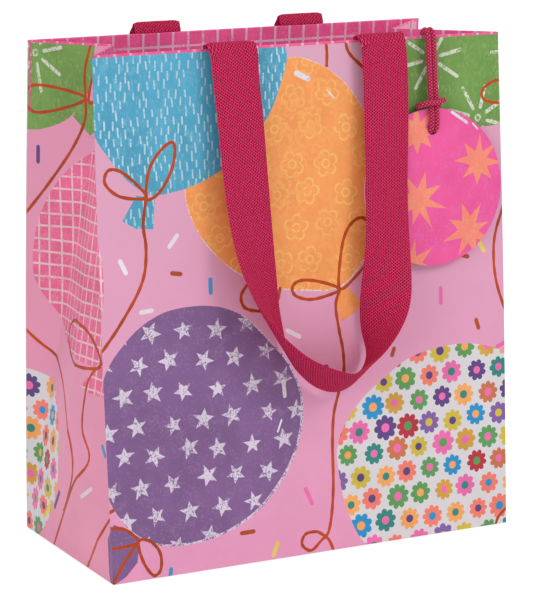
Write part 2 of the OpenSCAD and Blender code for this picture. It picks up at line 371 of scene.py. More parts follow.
def dash(x, z, length, degrees, width):
    """Short stroke with round ends."""
    a = math.radians(degrees)
    along, side = (math.cos(a), math.sin(a)), (-math.sin(a), math.cos(a))
    half, w = length / 2 - width / 2, width / 2
    shape = [(half, -w), (half + w * 0.8, -w * 0.5), (half + w * 0.8, w * 0.5), (half, w),
             (-half, w), (-half - w * 0.8, w * 0.5), (-half - w * 0.8, -w * 0.5), (-half, -w)]
    return [(x + p * along[0] + q * side[0], z + p * along[1] + q * side[1]) for p, q in shape]


def stroke(points, width, closed=False, steps=6):
    """Line of even width through the points, as a row of triangles."""
    line = spline(points, closed, steps)
    n = len(line)
    sides = []
    for i, (x, z) in enumerate(line):
        a = line[(i - 1) % n] if closed else line[max(i - 1, 0)]
        b = line[(i + 1) % n] if closed else line[min(i + 1, n - 1)]
        dx, dz = b[0] - a[0], b[1] - a[1]
        size = math.hypot(dx, dz) or 1
        w = width / 2 * (1 + 0.12 * math.sin(i * 1.7))
        sides.append(((x - dz / size * w, z + dx / size * w), (x + dz / size * w, z - dx / size * w)))
    patches = []
    for i in range(n if closed else n - 1):
        (a, b), (c, e) = sides[i], sides[(i + 1) % n]
        patches += [[b, e, c], [b, c, a]]
    return patches


class Drawing:
    """Coloured shapes in painter's order. A clipped shape shows only inside its clip shape."""

    def __init__(self):
        self.shapes = []

    def add(self, name, polygon, clip=None):
        area = sum(a[0] * b[1] - b[0] * a[1] for a, b in zip(polygon, polygon[1:] + polygon[:1]))
        if abs(area) > 1e-4:
            self.shapes.append((name, polygon if area > 0 else polygon[::-1], clip))
        return len(self.shapes) - 1

    def line(self, points, closed=False):
        for patch in stroke(points, STRING_W, closed):
            self.add("string", patch)

    def balloon(self, outline, name, rim, shift):
        """Fills a balloon, over a dry-brush rim where it has one, and returns the shape to clip by."""
        curve = spline(outline, True)
        if not rim:
            return self.add(name, curve)
        self.add(rim, curve)
        x = sum(p[0] for p in curve) / len(curve)
        z = sum(p[1] for p in curve) / len(curve)
        inner = []
        for p in curve:
            s = RIM_SHRINK + dice.uniform(-0.0015, 0.0015)
            inner.append((x + (p[0] - x) * s + shift[0], z + (p[1] - z) * s + shift[1]))
        return self.add(name, inner)


def limits(outline):
    xs, zs = [p[0] for p in outline], [p[1] for p in outline]
    return (min(xs), min(zs)), (max(xs), max(zs))


def lattice(outline, pitch_x, pitch_z, wander, inset=(0, 0)):
    """Staggered places that fill an outline's box, each moved a little, with their column and row."""
    low, high = limits(outline)
    first_x, first_z = low[0] + inset[0], low[1] + inset[1]
    rows = int((high[1] - first_z) / pitch_z) + 1
    columns = int((high[0] - first_x) / pitch_x) + 1
    for j in range(rows):
        for i in range(columns):
            x = first_x + (i + 0.5 * (j % 2)) * pitch_x + dice.uniform(-wander, wander)
            yield x, first_z + j * pitch_z + dice.uniform(-wander, wander), i, j


def dashes_fill(d, outline, clip):
    for x, z, _, _ in lattice(outline, 4.4, 4.3, 0.7):
        if dice.random() < 0.82:
            d.add("blue_dash", dash(x, z, dice.uniform(3.6, 5.4), dice.uniform(84, 96), 0.85), clip)


def flowers_fill(d, outline, clip):
    for x, z, _, _ in lattice(outline, 19, 16, 2.0):
        turn = dice.uniform(0, 1)
        d.add("orange_line", petals(x, z, 6.9, 5, 0.34, turn), clip)
        d.add("orange", petals(x, z, 5.8, 5, 0.38, turn), clip)
        d.add("orange_line", disc(x, z, 2.5), clip)
        d.add("orange", disc(x, z, 1.5), clip)


def stars_fill(d, outline, clip):
    for x, z, _, _ in lattice(outline, 16.8, 14.6, 1.6, inset=(3, 2)):
        d.add("star", star(x, z, dice.uniform(4.9, 6.0), 5, 0.42, dice.uniform(-0.5, 0.5), 0.1), clip)


DAISY_PAIRS = [("coral", "sky"), ("plum", "rose"), ("yellow", "teal"), ("leaf", "tangerine"),
               ("sky", "tangerine"), ("rose", "leaf"), ("tangerine", "teal"), ("red", "leaf"),
               ("teal", "rose"), ("ochre", "rose"), ("coral", "plum"), ("lilac", "yellow"),
               ("rust", "rose"), ("rose", "teal"), ("tangerine", "plum"), ("leaf", "rose"),
               ("yellow", "plum")]


def daisies_fill(d, outline, clip):
    for x, z, i, j in lattice(outline, 13.4, 11.9, 0.9):
        petal, heart = DAISY_PAIRS[(i * 5 + j * 7 + dice.randrange(3)) % len(DAISY_PAIRS)]
        size = dice.uniform(5.3, 6.5)
        d.add(petal, petals(x, z, size, dice.choice((8, 9)), 0.27, dice.uniform(0, 1)), clip)
        d.add(heart, disc(x, z, size * 0.36), clip)


GRID_PITCH = 6.4


def grid_fill(d, outline, clip):
    low, high = limits(outline)
    for k in range(int((high[0] - low[0]) / GRID_PITCH) + 1):
        x = low[0] + 3 + k * GRID_PITCH
        for patch in stroke([(x, low[1]), (x + dice.uniform(-1, 1), (low[1] + high[1]) / 2),
                             (x + dice.uniform(-1, 1), high[1])], 0.95, steps=4):
            d.add("grid_line", patch, clip)
    for k in range(int((high[1] - low[1]) / GRID_PITCH) + 1):
        z = low[1] + 3 + k * GRID_PITCH
        for patch in stroke([(low[0], z), ((low[0] + high[0]) / 2, z + dice.uniform(-1, 1)),
                             (high[0], z + dice.uniform(-1, 1))], 0.95, steps=4):
            d.add("grid_line", patch, clip)


def burst(d, x, z, clip, reach, turn=0.2):
    """Eight pale strokes that spread from a point."""
    for k in range(8):
        a = turn + k * math.tau / 8
        size = reach * dice.uniform(0.85, 1.08)
        d.add("green_ray", dash(x + (4.5 + size / 2) * math.cos(a), z + (4.5 + size / 2) * math.sin(a),
                                size, math.degrees(a), 1.9), clip)
    d.add("green_ray", disc(x, z, 2.0), clip)
    d.add("green", disc(x, z, 0.9), clip)


FILLS = {"blue": dashes_fill, "orange": flowers_fill, "purple": stars_fill, "white": daisies_fill,
         "grid": grid_fill}
# Ink of a balloon's rim, and how far the fill is moved over it
RIMS = {"orange": ("orange_rim", (-0.1, 0.3)), "purple": ("purple_rim", (-0.8, 0.6))}


def filled_balloon(d, outline, name):
    clip = d.balloon(outline, name, *RIMS.get(name, (None, None)))
    if name in FILLS:
        FILLS[name](d, spline(outline, True), clip)
    return clip


def egg(x, z, width, height, tilt=0.0):
    """Outline of a plain balloon, a little narrower towards its knot."""
    shape = []
    for k in range(10):
        a = k / 10 * math.tau
        p = width / 2 * math.sin(a) * (1 + 0.10 * math.cos(a))
        q = height / 2 * math.cos(a)
        shape.append((x + p * math.cos(tilt) + q * math.sin(tilt),
                      z - p * math.sin(tilt) + q * math.cos(tilt)))
    return shape


TAIL_SIZE = 13.0
BOW_SIZE = 20.0


def tail(d, name, x, z, turn):
    """Flared end below a balloon's knot at x, z. turn is its direction from straight down."""
    shape = []
    for side, reach in ((-0.12, 0.1), (-0.45, 1.0), (0.0, 1.08), (0.5, 0.95), (0.14, 0.1)):
        a = turn + side
        shape.append((x + TAIL_SIZE * reach * math.sin(a), z - TAIL_SIZE * reach * math.cos(a)))
    d.add(name, shape)


def bow(d, x, z, turn):
    """Two loops of string tied at a knot."""
    loop = [(0, 0), (0.45, 0.10), (0.85, 0.34), (1.0, 0.6), (0.86, 0.66), (0.5, 0.46), (0.15, 0.14)]
    for side in (-1, 1):
        points = []
        for p, q in loop:
            p, q = side * p * BOW_SIZE * (0.8 + 0.1 * side), q * BOW_SIZE
            points.append((x + p * math.cos(turn) - q * math.sin(turn),
                           z + p * math.sin(turn) + q * math.cos(turn)))
        d.line(points, closed=True)


CONFETTI = [(-72, 161, 8, 50, "white"), (-98, 151, 8, -65, "white"), (-71, 145.5, 6, -10, "brown"),
            (-53.5, 138, 8, 90, "blue"), (-87, 129, 7, 5, "white"), (-10, 110.5, 9, -30, "white"),
            (6, 92, 5, 10, "purple"), (55, 138, 5, 85, "brown"), (97, 144, 8, -60, "yellow"),
            (86.5, 140, 7, -20, "brown"), (73, 121, 9, 90, "pink"), (94, 104.5, 6, -72, "brown"),
            (45, 95.5, 5, 70, "brown"), (108, 92.5, 7, 20, "pink"), (-4, 29, 10, -66, "pink"),
            (-38, 15.5, 8, 0, "brown"), (-23, 5, 8, 65, "yellow"), (-80, 1, 6, 80, "blue"),
            (36, 98, 8, 35, "white"), (-211, 194, 9, 90, "purple"), (-177, 25, 13, 55, "purple"),
            (-141, 37, 12, 33, "white"), (-191, 15, 11, 45, "yellow"), (-125, 180, 8, 20, "white"),
            (-128, 60, 7, -50, "blue"), (150, 118, 8, 40, "brown"), (128, 130, 8, 90, "yellow"),
            (190, 100, 8, -30, "white"), (176, 40, 8, 60, "purple"), (205, 60, 7, 0, "blue"),
            (140, 205, 7, -20, "white"), (228, 130, 8, 60, "pink"), (262, 20, 8, 10, "brown"),
            (292, 138, 8, -60, "white"), (318, 128, 8, 30, "yellow"), (346, 15, 9, 90, "pink"),
            (330, 240, 7, 30, "brown"), (392, 128, 8, -20, "blue"), (415, 118, 8, 70, "white"),
            (402, 12, 8, 15, "yellow"), (360, 118, 7, 90, "purple")]


def draw_front(d):
    d.line([(12, 252), (12.8, 246), (12.4, 238)])
    d.line([(23, 252), (24.5, 245), (30, 239), (45, 226)])
    orange = [(-10, 243.5), (8, 240), (24, 228), (35, 210), (40, 188), (37, 160), (30, 143), (16, 130.5),
              (-5, 131), (-22, 134.5), (-38, 142), (-50, 152), (-59, 164), (-65, 182), (-60, 205),
              (-35, 232)]
    clip = filled_balloon(d, orange, "orange")
    d.add("chalk", dash(-1, 234.5, 10, -25, 2.8), clip)
    d.add("chalk", dash(14, 225, 6, -48, 0.8), clip)
    d.add("orange", [(14.5, 131), (14, 122), (16.5, 113.5), (22.5, 116.5), (28.5, 121), (22, 129)])
    blue = [(-60, 268), (-25, 262), (-9.5, 248), (-13, 231), (-22, 214), (-40, 196.5), (-57, 187.5),
            (-72, 184), (-84, 184), (-95, 192), (-103, 202), (-111, 215), (-118, 240), (-100, 262)]
    filled_balloon(d, blue, "blue")
    blue_tail = [(-90, 184), (-97.5, 172.5), (-91, 168.5), (-82, 167.5), (-80.5, 182)]
    dashes_fill(d, blue_tail, d.add("blue", blue_tail))
    green = [(40, 264), (41, 236), (52, 216), (74, 206), (97, 203.5), (120, 207), (146, 226), (152, 262)]
    clip = filled_balloon(d, green, "green")
    burst(d, 71, 239, clip, 13)
    burst(d, 97, 208, clip, 14, turn=0.5)
    burst(d, 124, 240, clip, 14, turn=0.0)
    purple = [(-112, 84), (-109, 100), (-101, 111.5), (-90, 121.5), (-77, 127.5), (-63, 129),
              (-49, 127.5), (-36, 121.5), (-23, 108.5), (-13, 96.5), (-7, 83), (-6, 69), (-10, 53),
              (-18.5, 38.5), (-31.5, 25.5), (-47, 17.5), (-62, 14.2), (-78, 14.2), (-92, 18.5),
              (-104, 30), (-111, 45), (-113, 65)]
    clip = filled_balloon(d, purple, "purple")
    d.add("chalk", dash(-16, 84, 9.5, 94, 2.0), clip)
    d.add("chalk", dash(-19, 66, 7, 68, 1.0), clip)
    d.add("purple", [(-95, 21), (-97, 9), (-103, 3), (-113, -2), (-118, 20), (-108, 29)])
    daisy = [(12.5, 41.7), (12.8, 53), (18, 64), (28, 75), (40, 83.5), (53, 91), (67, 94.5), (81, 95.5),
             (95, 94), (110, 88.5), (125, 78), (134, 55), (130, 25), (115, 2), (88, -12), (52, -12),
             (28, 0), (17, 20)]
    filled_balloon(d, daisy, "white")


def draw_front_strings(d):
    d.line([(-85, 182.5), (-98, 184), (-105.5, 190.5), (-104, 196.5), (-98, 196), (-90, 189.5)], closed=True)
    d.line([(-85, 182.5), (-83.5, 194), (-79, 202), (-72, 207.5), (-69.5, 205), (-71, 196), (-76, 187),
            (-81, 182.5)], closed=True)
    d.line([(-85, 182.5), (-87, 170), (-86, 160), (-87, 148), (-91, 138), (-99, 126), (-106, 117),
            (-113, 110), (-126, 104), (-138, 100)])
    d.line([(16, 129.8), (5, 134.5), (-5, 136), (-9.8, 133.5), (-8.5, 129), (-1, 126.3), (8, 127)],
           closed=True)
    d.line([(16, 130), (17, 146), (20, 157), (25.5, 163), (31, 163), (36, 155), (34, 145), (25, 135)],
           closed=True)
    d.line([(16, 129), (13.6, 122), (15.2, 109), (17, 99), (17, 88), (14, 79), (10.8, 68), (9.7, 53),
            (9.7, 33), (8.3, 17), (5.5, 8), (0, 10.5), (-6.5, 10), (-8.3, 5), (-3, 1.5), (5, 7), (9.5, -1)])
    d.line([(-33, 138), (-37.5, 132), (-36, 126), (-29, 123.5), (-22, 124.5), (-18, 128), (-16.5, 134)])
    d.line([(-112, 27.5), (-103, 26), (-96, 19), (-104, 17.5), (-112, 17.5)])
    d.line([(-96, 19), (-90, 18.5), (-85, 12), (-85, 4), (-89, 1.5), (-94, 9)], closed=True)
    d.line([(-96, 19), (-103, 11), (-110, 1), (-116, -8)])
    d.line([(110, 226), (102, 223.5), (99.5, 219.5), (102.5, 216), (112, 215), (118, 221)], closed=True)
    d.line([(114, 170), (109, 159), (105, 147), (104.5, 133), (107, 120), (113, 106), (122, 98)])
    d.line([(118, 14), (110, 7.5), (105, 3), (103, -3)])


def draw_left(d):
    green = [(-180, 264), (-176, 245), (-177, 232), (-190, 215), (-204, 208), (-218, 206), (-240, 209),
             (-258, 225), (-264, 250), (-250, 268)]
    clip = filled_balloon(d, green, "green")
    burst(d, -213, 244, clip, 15)
    burst(d, -240, 226, clip, 13, turn=0.5)
    d.add("green", [(-183, 224), (-190, 214), (-180, 205), (-170, 210), (-178, 222)])
    grid = [(-170, 200), (-150, 197), (-128, 188), (-112, 168), (-108, 146), (-111, 124), (-122, 108),
            (-138, 99), (-158, 98), (-176, 101), (-192, 108), (-210, 126), (-214, 142), (-209, 166),
            (-194, 187)]
    filled_balloon(d, grid, "grid")
    clip = d.add("grid", [(-140, 101), (-156, 86), (-148, 84.5), (-136, 84.5), (-121, 86), (-134, 100)])
    grid_fill(d, [(-158, 83), (-120, 102)], clip)
    daisy = [(-276, 40), (-268, 66), (-248, 82), (-222, 85), (-198, 78), (-181, 60), (-175, 42),
             (-180, 25), (-194, 7), (-212, -4), (-246, -6), (-268, 12)]
    filled_balloon(d, daisy, "white")
    d.line([(-177, 252), (-182, 237), (-182, 222), (-183, 212), (-190, 199), (-203, 182), (-218, 164),
            (-230, 150)])
    d.line([(-182, 223), (-196, 227), (-214, 228), (-219, 222), (-214, 215), (-198, 217)], closed=True)
    d.line([(-180, 221), (-172, 226), (-168, 236), (-172, 240), (-178, 232)], closed=True)
    d.line([(-138, 100), (-152, 112), (-170, 116), (-180, 112), (-179, 103), (-166, 96), (-150, 96)],
           closed=True)
    d.line([(-138, 100), (-148, 92), (-151, 80), (-150, 66), (-141, 53), (-158, 35), (-182, 1), (-188, -8)])
    d.line([(-222, 108), (-208, 97), (-184, 84), (-168, 68), (-158, 54), (-156, 43), (-164, 28), (-169, 21)])
    d.line([(-141, 0), (-128, 16), (-116, 31), (-106, 37)])


def draw_right(d):
    filled_balloon(d, egg(176, 158, 74, 88), "grid")
    tail(d, "grid", 176, 114, 0.1)
    filled_balloon(d, egg(205, 26, 80, 92, 0.3), "orange")
    bow(d, 176, 113, -0.1)
    d.line([(176, 113), (172, 98), (178, 82), (172, 66), (160, 50), (164, 30), (152, -4)])
    d.line([(200, 262), (203, 246), (197, 228), (205, 208), (214, 186), (209, 164), (218, 146)])
    d.line([(118, 98), (128, 106), (142, 108), (150, 101), (142, 95), (128, 98)], closed=True)


def draw_back(d):
    """The far side continues the print: u runs on from the right gusset."""
    for x, z, width, height, name in ((250, 238, 68, 76, "blue"), (345, 184, 92, 104, "orange"),
                                      (402, 150, 62, 82, "grid"), (264, 100, 88, 100, "purple"),
                                      (332, 58, 78, 90, "white")):
        filled_balloon(d, egg(x, z, width, height), name)
        knot = z - height / 2
        tail(d, name, x, knot, dice.uniform(-0.15, 0.15))
        d.line([(x, knot), (x - 5, knot - 14), (x + 3, knot - 30), (x - 3, knot - 55),
                (x - 8, knot - 90), (x - 2, knot - 130), (x - 10, knot - 180)])
        bow(d, x, knot, dice.uniform(-0.2, 0.2))


def bag_print():
    d = Drawing()
    draw_right(d)
    draw_back(d)
    draw_left(d)
    draw_front(d)
    draw_front_strings(d)
    for x, z, length, degrees, name in CONFETTI:
        d.add("dash_" + name, dash(x, z, length + 0.8, degrees, 2.2))
    return d


# ---- Sheets of paper: the flat drawing cut along its outlines, then bent into place ----


def cut(d, outline, shift=0.0, spacing=5.0, creases=(), holes=(), background="pink", period=0.0):
    """Triangles of the flat area inside the outline, each with its ink. shift moves the print, and a
    period repeats it."""
    low, high = limits(outline)
    points, edges, faces, inks, clips = [], [], [], [], []

    def face(polygon, move=0.0):
        faces.append(list(range(len(points), len(points) + len(polygon))))
        points.extend((x + move, z) for x, z in polygon)

    face(outline)
    inks.append(background)
    clips.append((0.0, None))
    numbers = {}
    for turn in (-period, 0.0, period) if period else (0.0,):
        for at, (name, polygon, clip) in enumerate(d.shapes):
            a, b = limits(polygon)
            move = shift + turn
            if a[0] + move > high[0] or b[0] + move < low[0] or a[1] > high[1] or b[1] < low[1]:
                continue
            numbers[turn, at] = len(faces)
            face([(x + turn, z) for x, z in polygon], shift)
            inks.append(name)
            clips.append((turn, clip))
    for a, b in creases:
        edges.append((len(points), len(points) + 1))
        points.extend((a, b))
    first_hole = len(faces)
    for hole in holes:
        face(hole)
    columns = max(2, round((high[0] - low[0]) / spacing))
    rows = max(2, round((high[1] - low[1]) / spacing))
    for i in range(columns + 1):
        for j in range(rows + 1):
            points.append((low[0] + (high[0] - low[0]) * i / columns,
                           low[1] + (high[1] - low[1]) * j / rows))
    flat, _, cells, _, _, sources = delaunay_2d_cdt([Vector(p) for p in points], edges, faces,
                                                    0, 1e-4, True)
    kept, colours = [], []
    for cell, inside in zip(cells, sources):
        held = set(inside)
        if 0 not in held or any(k >= first_hole for k in held):
            continue
        # The topmost shape here whose clip shape is here as well
        for k in sorted(held, reverse=True):
            if clips[k][1] is None or numbers.get(clips[k]) in held:
                break
        kept.append(cell)
        colours.append(inks[k])
    return [tuple(p) for p in flat], kept, colours


# Bake map of a sheet: its print takes this share of the width, and the plain inside a corner beside it
PRINT_SHARE, PRINT_START = 0.93, 0.005
PLAIN_SHARE, PLAIN_START = 0.05, 0.945
PAPER_CREASE = 0.12     # in radians: a sharper bend than this shows as a crease


def shell(name, flat, cells, colours, place, thickness, inner="paper_white", rim=None):
    """Closed sheet: printed outside, plain inside. place(u, z, depth) gives the point in space.
    Its cut edges take the rim ink, or the ink beside them."""
    used = sorted({i for c in cells for i in c})
    number = {old: new for new, old in enumerate(used)}
    n = len(used)
    outer = [place(*flat[i], 0.0) for i in used]
    under = [place(*flat[i], thickness) for i in used]
    faces, slots = [], []
    names = sorted(set(colours) | {inner, rim or inner})
    sides = {}
    a, b, c = (Vector(outer[number[i]]) for i in cells[0])
    inward = Vector(under[number[cells[0][0]]]) - a
    flip = (b - a).cross(c - a).dot(inward) > 0
    for cell, colour in zip(cells, colours):
        cell = [number[i] for i in (cell[::-1] if flip else cell)]
        faces.append(cell)
        slots.append(names.index(colour))
        for p, q in zip(cell, cell[1:] + cell[:1]):
            sides[(p, q)] = slots[-1]
    tops = len(faces)
    for cell in faces[:tops]:
        faces.append([i + n for i in cell[::-1]])
        slots.append(names.index(inner))
    for (p, q), slot in sides.items():
        if (q, p) not in sides:
            faces.append([q, p, p + n, q + n])
            slots.append(names.index(rim) if rim else slot)
    mesh = bpy.data.meshes.new(name)
    mesh.from_pydata([Vector(p) * MM for p in outer + under], [], faces)
    for key in names:
        mesh.materials.append(INK[key])
    mesh.polygons.foreach_set("material_index", slots)
    mesh.polygons.foreach_set("use_smooth", [True] * len(faces))
    coords = [flat[i] for i in used]
    low = np.min(coords, 0)
    size = float(np.max(np.max(coords, 0) - low))
    layer = mesh.uv_layers.new(name="OFBake")
    corner = 0
    for index, face in enumerate(faces):
        share, start = (PRINT_SHARE, PRINT_START) if index < tops else (PLAIN_SHARE, PLAIN_START)
        for i in face:
            layer.data[corner].uv = (np.array(coords[i % n]) - low) / size * share + start
            corner += 1
    mesh.validate()
    mesh.set_sharp_from_angle(angle=PAPER_CREASE)
    return add_object(name, mesh)


EDGE_BOW = 0.9      # how far the bag's upright edges stand out at mid-height


def bow_out(z):
    """How far the bag's upright edges stand out at height z."""
    return EDGE_BOW * math.sin(math.pi * min(max(z / RIM_Z, 0), 1))


def swell(u, z):
    """Outward swell of a large panel, none along its edges."""
    a = math.sin(math.pi * min(max((u + HALF_W) / (2 * HALF_W), 0), 1))
    b = math.sin(math.pi * min(max(z / RIM_Z, 0), 1))
    waves = 0.5 + 0.5 * math.sin(u * 0.031 + 0.7) * math.sin(z * 0.036 + 0.4)
    return (0.5 + 0.8 * waves) * a * b


def place_front(u, z, depth):
    x = u * (1 + bow_out(z) / HALF_W)
    return (x, front_y(z) - swell(u, z) + depth, z)


def turned(place):
    """The same placing, turned half round the bag's middle."""
    def half_turn(u, z, depth):
        x, y, h = place(u, z, depth)
        return (-x, -y, h)
    return half_turn


def tuck_depth(y, z, tuck):
    """How far a gusset is pushed in at distance y from its crease and height z."""
    side = tuck * (HALF_D - LEAN * z - y) / (HALF_D - LEAN * RIM_Z)
    foot = tuck * (z / CREASE_Z + y / HALF_D - 1) / (RIM_Z / CREASE_Z - 1)
    soft = 2.5
    gap = max(soft - abs(side - foot), 0) / soft
    return max(0.0, min(side, foot) - gap * gap * soft / 4)


def place_gusset(side, half):
    """Placing of half a gusset. side is -1 on the left, half is -1 towards the front. u is the
    distance from the bag's corner along the sheet."""
    def place(u, z, depth):
        y = (HALF_D - LEAN * z) * (1 - u / HALF_D)
        inward = tuck_depth(y, z, TUCK[side]) + depth
        return (side * (HALF_W + bow_out(z) - inward), half * y, z)
    return place


def make_panels(d):
    rect = [(-HALF_W, 0.0), (HALF_W, 0.0), (HALF_W, EDGE), (-HALF_W, EDGE)]
    strip = [(0.0, 0.0), (HALF_D, 0.0), (HALF_D, EDGE), (0.0, EDGE)]
    fold = [((0.0, 0.0), (HALF_D, CREASE_Z))]
    front = shell("front_panel_paper", *cut(d, rect), place_front, PAPER)
    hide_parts("front_panel")
    back = shell("back_panel_paper", *cut(d, rect, shift=-WHOLE / 2, period=WHOLE),
                 turned(place_front), PAPER)
    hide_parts("back_panel")
    pieces = [front, back]
    # A gusset half is drawn from its corner inwards, so two of the four need the print mirrored
    mirrored = Drawing()
    mirrored.shapes = [(n, [(-u, z) for u, z in p][::-1], c) for n, p, c in d.shapes]
    for name, end, side, way, shift, art in (("left", "front", -1, -1, -CORNER, mirrored),
                                             ("left", "back", -1, 1, BACK, d),
                                             ("right", "front", 1, -1, -CORNER, d),
                                             ("right", "back", 1, 1, BACK, mirrored)):
        sheet = cut(art, strip, shift, creases=fold, background="side_pink", period=WHOLE)
        piece = shell(f"{name}_gusset_{end}_paper", *sheet, place_gusset(side, way), PAPER)
        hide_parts(f"{name}_gusset_{end}_edge", f"{name}_gusset_{end}_crease")
        if end == "front":
            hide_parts(f"{name}_base_triangle")
        pieces.append(piece)
    for piece in pieces:
        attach(piece, "bag")


# ---- Hem: print that turns over the rim and runs down inside ----

HEM_PITCH = 8.2
HEM_GAP = 0.06      # between the hem and the paper it turns over
HEM_RISE = 0.1      # how far the turn stands above the rim
HEM_SHORT = 1.2     # how much narrower than its panel the front or back hem is
HEM_PAPER = PAPER * 0.6


def hem_drawing(width, depth):
    d = Drawing()
    for k in range(int(width / HEM_PITCH) + 2):
        x = 2.5 + k * HEM_PITCH
        for patch in stroke([(x, -1), (x + dice.uniform(-0.3, 0.3), depth / 2),
                             (x + dice.uniform(-0.3, 0.3), depth + 1)], 1.15, steps=4):
            d.add("hem_line", patch)
    for k in range(int(depth / HEM_PITCH) + 1):
        z = 1.8 + 8 + k * HEM_PITCH
        for patch in stroke([(-1, z), (width / 2, z + dice.uniform(-0.3, 0.3)), (width + 1, z)],
                            1.15, steps=12):
            d.add("hem_line", patch)
    return d


def over_rim(stack):
    """Profile of a hem as (distance inward, height): up outside, over, and down inside."""
    r = min(0.45, stack / 2)
    bend = [(r * (1 - math.cos(a)), RIM_Z - r + (r + HEM_RISE) * math.sin(a)) for a in (0.5, 1.0, 1.5)]
    outside, inside = -HEM_GAP, stack + HEM_GAP
    return ([(outside, EDGE), (outside, RIM_Z - r)] + [(outside + x, z) for x, z in bend]
            + [(inside - x, z) for x, z in bend[::-1]] + [(inside, RIM_Z - r), (inside, HEM_Z)])


def along(profile, s):
    """Point of a profile at distance s, and the direction from the sheet's outer face to its other one."""
    for a, b in zip(profile, profile[1:]):
        size = math.dist(a, b)
        if s <= size or b is profile[-1]:
            t = min(max(s / size, 0), 1)
            way = ((b[0] - a[0]) / size, (b[1] - a[1]) / size)
            return a[0] + (b[0] - a[0]) * t, a[1] + (b[1] - a[1]) * t, (way[1], -way[0])
        s -= size


def hem_sheet(width, profile):
    """Flat hem of this width, cut along the bends of its profile."""
    depth = sum(math.dist(a, b) for a, b in zip(profile, profile[1:]))
    bends, s = [], 0
    for a, b in zip(profile, profile[1:-1]):
        s += math.dist(a, b)
        bends.append(((0.0, s), (width, s)))
    area = [(0.0, 0.0), (width, 0.0), (width, depth), (0.0, depth)]
    return cut(hem_drawing(width, depth), area, creases=bends, background="hem", spacing=6)


def hem_piece(node, sheet, place):
    piece = shell(f"{node}_paper", *sheet, place, HEM_PAPER, inner="hem", rim="hem")
    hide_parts(node)
    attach(piece, "bag")


def place_side_hem(profile, side, half):
    """Placing of half a side hem, which makes room at the corner for the front's or back's hem."""
    def place(u, s, depth):
        inward, z, way = along(profile, s)
        y = (HALF_D - LEAN * z) * (1 - u / HALF_D)
        y = min(y, HALF_D - LEAN * z - (RIM_STACK + 0.1 if inward > 0.3 else 0))
        deep = tuck_depth(y, z, TUCK[side]) + inward + way[0] * depth
        return (side * (HALF_W + bow_out(z) - deep), half * y, z + way[1] * depth)
    return place


def make_hems():
    profile = over_rim(RIM_STACK)
    width = 2 * HALF_W - HEM_SHORT

    def place(u, s, depth):
        inward, z, way = along(profile, s)
        return (u - width / 2, front_y(z) + inward + way[0] * depth, z + way[1] * depth)

    sheet = hem_sheet(width, profile)
    hem_piece("front_hem", sheet, place)
    hem_piece("back_hem", sheet, turned(place))
    side_profile = over_rim(2 * PAPER)
    sheet = hem_sheet(HALF_D, side_profile)
    for side, name in ((-1, "left"), (1, "right")):
        for half, end in ((-1, "front"), (1, "back")):
            hem_piece(f"{name}_hem_{end}", sheet, place_side_hem(side_profile, side, half))


# ---- Tubes, for the tape and the cord ----


def distances(path):
    """Distance of each point of a path from its start."""
    run = [0.0]
    for a, b in zip(path, path[1:]):
        run.append(run[-1] + (b - a).length)
    return run


def heading_at(path, i):
    return (path[min(i + 1, len(path) - 1)] - path[max(i - 1, 0)]).normalized()


def tube(name, points, n, weave, material, cap=None):
    """Closed tube through rows of n points. weave(i, k) is the texture place of point k of row i,
    where k runs on to n at the seam. cap is that of the two ends, or Blender's own without it."""
    rows = len(points) // n
    faces, places = [], []
    for i in range(rows - 1):
        for k in range(n):
            j = (k + 1) % n
            faces.append([i * n + k, i * n + j, (i + 1) * n + j, (i + 1) * n + k])
            places += [weave(i, k), weave(i, k + 1), weave(i + 1, k + 1), weave(i + 1, k)]
    faces += [list(range(n))[::-1], [(rows - 1) * n + k for k in range(n)]]
    if cap:
        places += [cap] * (2 * n)
    mesh = bpy.data.meshes.new(name)
    mesh.from_pydata(points, [], faces)
    mesh.materials.append(material)
    mesh.polygons.foreach_set("use_smooth", [True] * len(faces))
    layer = mesh.uv_layers.new(name="weave")
    for corner, at in enumerate(places):
        layer.data[corner].uv = at
    return add_object(name, mesh)


# ---- Handles: one knitted tape each, glued inside the hem, over the rim and round the loop ----

hinge = Vector(joint("front_handle_swing")["pos_m"]) / MM
tail_low, tail_high = mm_box("front_tail_left")
tail_right = mm_box("front_tail_right")
TAPE_W = tail_high.x - tail_low.x
TAPE_T = 1.5
LEG = (tail_right[0].x + tail_right[1].x) / 2
SLIT = -(PAPER + CARD / 2)
LOOP_LOW = 88.0
# Rows of the loop: x and height as shares, distance outward, heading of the loop's outer side,
# twist, and curl, the further twist the outer selvage has over the middle
LOOP = [(-0.98, 0.02, 5.5, 0, 0, 0), (-0.97, 0.09, 6, 2, 3, 0), (-0.94, 0.22, 7, 3, 4, 0),
        (-0.92, 0.37, 8, 4, 6, 4), (-0.89, 0.52, 9.2, 6, 12, 10), (-0.84, 0.66, 10.5, 10, 26, 22),
        (-0.73, 0.79, 12.3, 24, 54, 36), (-0.49, 0.905, 15.2, 44, 88, 34),
        (-0.14, 0.975, 15.4, 68, 113, 16), (0.24, 1.01, 15.0, 90, 123, 6),
        (0.52, 0.975, 15.2, 116, 119, 8), (0.72, 0.91, 15.4, 140, 97, 12),
        (0.84, 0.82, 12.6, 156, 56, 14), (0.91, 0.72, 10.5, 166, 20, 8),
        (0.955, 0.60, 9.2, 172, 0, 2), (0.98, 0.44, 8, 176, -5, 0), (1.01, 0.28, 7, 179, -2, 0),
        (1.03, 0.12, 6, 181, 0, 0), (1.02, 0.02, 5.5, 180, 0, 0)]
# Rows of the turn over the rim: height above the hinge and distance outward
ARCH = {"front_handle": [(0.1, 1.1), (0.1, 2.4), (-1.0, 4.4)],
        "back_handle": [(2.1, 0.6), (2.7, 1.8), (0.2, 3.4)]}


